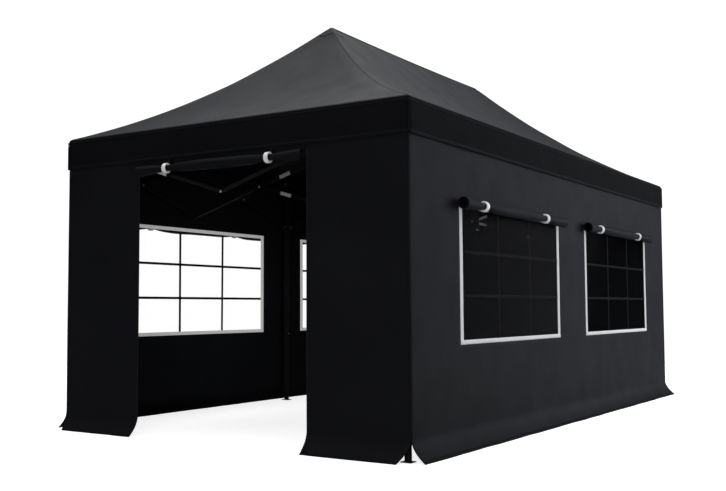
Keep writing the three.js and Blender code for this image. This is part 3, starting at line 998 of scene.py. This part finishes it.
def door():
    """The door rolled up under the doorway's top edge, and the zips up its jambs."""
    flap = rolled_cover(
        "door_panel_roll", "door_tie", "front", (-DOOR_HALF + 0.010, DOOR_HALF - 0.010), DOOR_ROLL,
        DOOR_RINGS, DOOR_TOP + 0.02, DOOR_TOP + 0.012, 77,
    )
    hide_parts("door_roll")
    zs = upright_run(0.02, DOOR_TOP, 14, 34)
    for name, side in (("left", -1), ("right", 1)):
        us = np.full(len(zs), side * (DOOR_HALF + 0.004))
        wall_strip(f"door_zip_{name}", "front", us, zs, ZIP, "plastic", 0.001)


WINDOW_HOLES = [(u0 + 0.006, u1 - 0.006, WINDOW_LOW + 0.004, WINDOW_TOP - 0.004) for u0, u1 in window_spans()]
DOOR_HOLE = (-DOOR_HALF, DOOR_HALF, -1.0, DOOR_TOP)
for side_wall in ("right", "left"):
    hang_wall(side_wall, [(-SIDE_HALF, SIDE_HALF)], WINDOW_HOLES)
hang_wall("front", [(-END_HALF, -DOOR_HALF), (DOOR_HALF, END_HALF)], [DOOR_HOLE])
hang_wall("back", [(-END_HALF, END_HALF)])
door()


# ---- small hard parts
# The ways that each leg's brackets reach, and the way that each truss's pin heads face.
LEG_ARMS = {
    "front_right": ((0, 1), (-1, 0)), "mid_right": ((0, 1), (0, -1)), "back_right": ((0, -1), (-1, 0)),
    "front_left": ((0, 1), (1, 0)), "mid_left": ((0, 1), (0, -1)), "back_left": ((0, -1), (1, 0)),
}
TRUSSES = {
    "right_front": (-1, 0), "right_back": (-1, 0), "left_front": (1, 0), "left_back": (1, 0),
    "front": (0, 1), "back": (0, -1), "cross_front": (0, 1), "cross_back": (0, -1),
}
# Closed profiles for turned(), as (radius, height).
RIVET = [
    (0, 0.0040), (0.0030, 0.0037), (0.0055, 0.0022), (0.0062, 0.0010), (0.0085, 0.0010), (0.0085, 0), (0, 0),
]
BUTTON = [(0, 0.0060), (0.0025, 0.0054), (0.0042, 0.0036), (0.0046, 0.0010), (0.0046, 0), (0, 0)]
PUSH_KNOB = [
    (0, 0.0080), (0.0055, 0.0074), (0.0080, 0.0055), (0.0086, 0.0030), (0.0110, 0.0014), (0.0110, 0), (0, 0),
]
EYELET = [(0, 0.0003), (0.0040, 0.0003), (0.0044, 0), (0, 0)]
POLE_CAP = [
    (0, 0.030), (0.005, 0.028), (0.009, 0.0205), (0.0112, 0.010), (0.0118, 0.002), (0.0114, 0), (0, 0),
]


def on_leg(name, z):
    """A point on a leg's middle line."""
    x, y, _ = middle_of(f"inner_leg_{name}")
    return Vector((x, y, z))


def rivets(name, body, places):
    fit(turned(name, RIVET, "steel", places, 20), body)


def arm_rivets(name, arms, z, body, tag):
    """The rivet heads on both cheeks of each of a bracket's arms."""
    places = []
    for arm in arms:
        along = Vector((*arm, 0))
        across = UP.cross(along)
        for side in (-1, 1):
            middle = on_leg(name, z) + along * PIVOT_OUT + across * side * CHEEK_FACE
            places.append(placed(middle, across * side))
    rivets(f"{tag}_rivets_{name}", body, places)


def leg_hardware(name, arms):
    """One leg's rivets, collar, snap button and adjusting holes, and its slider's button."""
    leg, inner_leg, slider = f"{name}_leg", f"{name}_inner_leg", f"slider_{name}"
    arm_rivets(name, arms, UPPER_PIVOT, leg, "cap")
    arm_rivets(name, arms, LOWER_PIVOT, slider, "slider")
    lower_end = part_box(f"outer_leg_{name}")[0].z
    collar_at = Matrix.Translation(on_leg(name, lower_end + COLLAR["length"] / 2 - COLLAR_BELOW))
    fit(sleeve(f"collar_{name}", "plastic", collar_at, COLLAR), leg)
    inward = Vector((-math.copysign(1, on_leg(name, 0).x), 0, 0))
    button_out = COLLAR["bore"][0] / 2 + COLLAR["wall"]
    button_at = placed(on_leg(name, lower_end + SNAP_BUTTON_UP) + inward * button_out, inward)
    fit(turned(f"snap_button_{name}", BUTTON, "steel", [button_at], 20), leg)
    holes = []
    for k in range(HOLES["count"]):
        z = HOLES["first"] + HOLES["pitch"] * k
        holes.append(placed(on_leg(name, z) + inward * INNER_LEG_FACE, inward))
    fit(turned(f"adjusting_holes_{name}", EYELET, "plastic", holes, 16), inner_leg)
    outward = -inward
    knob_at = placed(on_leg(name, LOWER_PIVOT) + outward * SLIDER_FACE, outward)
    fit(turned(f"slider_button_{name}", PUSH_KNOB, "plastic", [knob_at], 24), slider)


def truss_point(run, along_run, depth, z=0):
    """A point from its places on the axis that a truss runs along and on the one across it."""
    return Vector((depth, along_run, z) if run else (along_run, depth, z))


def truss_hardware(name, facing):
    """Rivets on the pins of a truss, and hook tape on those that run across the gazebo."""
    run = 1 if facing[0] else 0
    across = 1 - run
    sign = float(facing[across])
    boxes = {bar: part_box(f"{name}_bar_{bar}") for bar in ("a1", "b1", "b2", "a2")}
    middle = sum(low[run] + high[run] for low, high in boxes.values()) / (2 * len(boxes))
    middle_z = (LOWER_PIVOT + UPPER_PIVOT) / 2
    for bar, pivot_z in (("a1", LOWER_PIVOT), ("a2", UPPER_PIVOT)):
        low, high = boxes[bar]
        back, tip = (low[across], high[across]) if sign > 0 else (high[across], low[across])
        crossing = (low[run] + high[run]) / 2
        spots = [
            (crossing, middle_z, back + sign * (BAR_FACE + HEAD_FACE), sign),
            (crossing, middle_z, back, -sign),
            (middle, pivot_z, back, -sign),
        ]
        if bar == "a1" or not name.startswith("cross"):
            spots.append((middle, pivot_z, tip, sign))
        places = []
        for along_run, z, depth, way in spots:
            places.append(placed(truss_point(run, along_run, depth, z), truss_point(run, 0, way)))
        rivets(f"{name}_bar_{bar}_rivets", f"{name}_bar_{bar}", places)
    if name in TIE_FROM_MIDDLE:
        truss_ties(name, boxes, run, middle, sign)


def truss_ties(name, boxes, run, middle, sign):
    """White hook tape round two bars of a truss, at TIE_FROM_MIDDLE from its middle pivots."""
    across = 1 - run
    for bar, near_z, far_z in (("b2", LOWER_PIVOT, UPPER_PIVOT), ("a2", UPPER_PIVOT, LOWER_PIVOT)):
        low, high = boxes[bar]
        away = -1 if (low[run] + high[run]) / 2 < middle else 1
        depth = (low[across] + high[across]) / 2
        if bar == "a2":
            back = low[across] if sign > 0 else high[across]
            depth = back + sign * BAR_THICK / 2
        near = truss_point(run, middle, depth, near_z)
        far = truss_point(run, middle + away * (high[run] - low[run] - 2 * BAR_END), depth, far_z)
        along = (far - near).normalized()
        place = placed(near + along * TIE_FROM_MIDDLE[name], along, truss_point(run, 0, sign))
        body = f"{name}_bar_{bar}"
        fit(sleeve(f"{body}_tie", "tape", place, TIE), body)


def pole_cap(pole):
    x, y, _ = middle_of(pole)
    top = Matrix.Translation(Vector((x, y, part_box(pole)[1].z)))
    fit(turned(f"{pole}_cap", POLE_CAP, "plastic", [top], 32), pole)


for leg_name, leg_arms in LEG_ARMS.items():
    leg_hardware(leg_name, leg_arms)
for truss_name, truss_facing in TRUSSES.items():
    truss_hardware(truss_name, truss_facing)
for pole_name in POLES:
    pole_cap(pole_name)


# ---- frame finishes
NODE_LOOKS = {
    "outer_leg": "frame", "peak_pole": "frame", "inner_leg": "inner_leg", "slider": "plastic",
    "hub_plate": "plastic",
}
for node_name, node in frame["nodes"].items():
    if not node.hide_render:
        looks = [look for start, look in NODE_LOOKS.items() if node_name.startswith(start)]
        node.data.materials.clear()
        node.data.materials.append(M[looks[0] if looks else "bar"])


# ---- studio
WHITE = (1, 1, 1, 1)
FLOOR_HALF, FLOOR_DROP = 60, 0.0005
SEEN, LIT = 1.08, 0.03      # the backdrop's brightness for the camera, and as a light
LIGHTS = {                  # where it stands, what it faces, its size, power and colour
    "top_light": ((0, 0.5, 9), (0, 0.5, 0), (14, 16), 1600, (1, 1, 1)),
    "right_light": ((8.2, 8.4, 3.6), (1.5, 1.6, 1.2), (9, 8), 700, (0.94, 0.97, 1.06)),
    "front_light": ((5, -15, 3.2), (0, -2.9, 1.4), (6, 4), 520, (1, 1, 1)),
    "back_light": ((-9, 13, 5), (0, 0, 1.4), (8, 6), 350, (1, 1, 1)),
}


def pale_floor():
    """A pale floor that catches the shadow and fades into the white backdrop."""
    corners = [(x * FLOOR_HALF, y * FLOOR_HALF, 0) for x, y in ((-1, -1), (1, -1), (1, 1), (-1, 1))]
    floor = mesh_object("studio_floor", corners, [(0, 1, 2, 3)], [], smooth=False)
    look = Look("floor_pale", (0.62, 0.62, 0.62), 0.9, 0.1)
    look.set("Emission Color", WHITE)
    camera_ray = look.add("LightPath", "Is Camera Ray", {})
    look.set("Emission Strength", look.maths("MULTIPLY", camera_ray, 0.82))
    distance = look.add("VectorMath", "Value", {0: look.place()}, operation="LENGTH")
    fade = {"Value": distance, "From Min": 5.5, "From Max": 10.0, "To Min": 1.0, "To Max": 0.0}
    look.set("Alpha", look.add("MapRange", "Result", fade, interpolation_type="SMOOTHSTEP"))
    floor.data.materials.append(look.made)
    floor.location.z = -FLOOR_DROP


def softbox(name, place, target, size, power, colour):
    lamp = bpy.data.lights.new(name, "AREA")
    lamp.shape = "RECTANGLE"
    lamp.size, lamp.size_y = size
    lamp.energy = power
    lamp.color = colour
    obj = bpy.data.objects.new(name, lamp)
    bpy.context.scene.collection.objects.link(obj)
    obj.location = place
    obj.rotation_euler = (Vector(target) - Vector(place)).to_track_quat("-Z", "Y").to_euler()


def white_world():
    """A backdrop that the camera sees as white, and that hardly lights the gazebo."""
    world = bpy.data.worlds.new("studio")
    bpy.context.scene.world = world
    tree = Tree(world)
    camera_ray = tree.add("LightPath", "Is Camera Ray", {})
    lit, seen = (tree.add("Background", 0, {"Color": WHITE, "Strength": s}) for s in (LIT, SEEN))
    mix = tree.add("MixShader", "Shader", {"Fac": camera_ray, 1: lit, 2: seen})
    tree.put(tree.nodes["World Output"].inputs["Surface"], mix)


pale_floor()
for light_name, light_facts in LIGHTS.items():
    softbox(light_name, *light_facts)
white_world()
bpy.context.scene.view_settings.view_transform = "Standard"
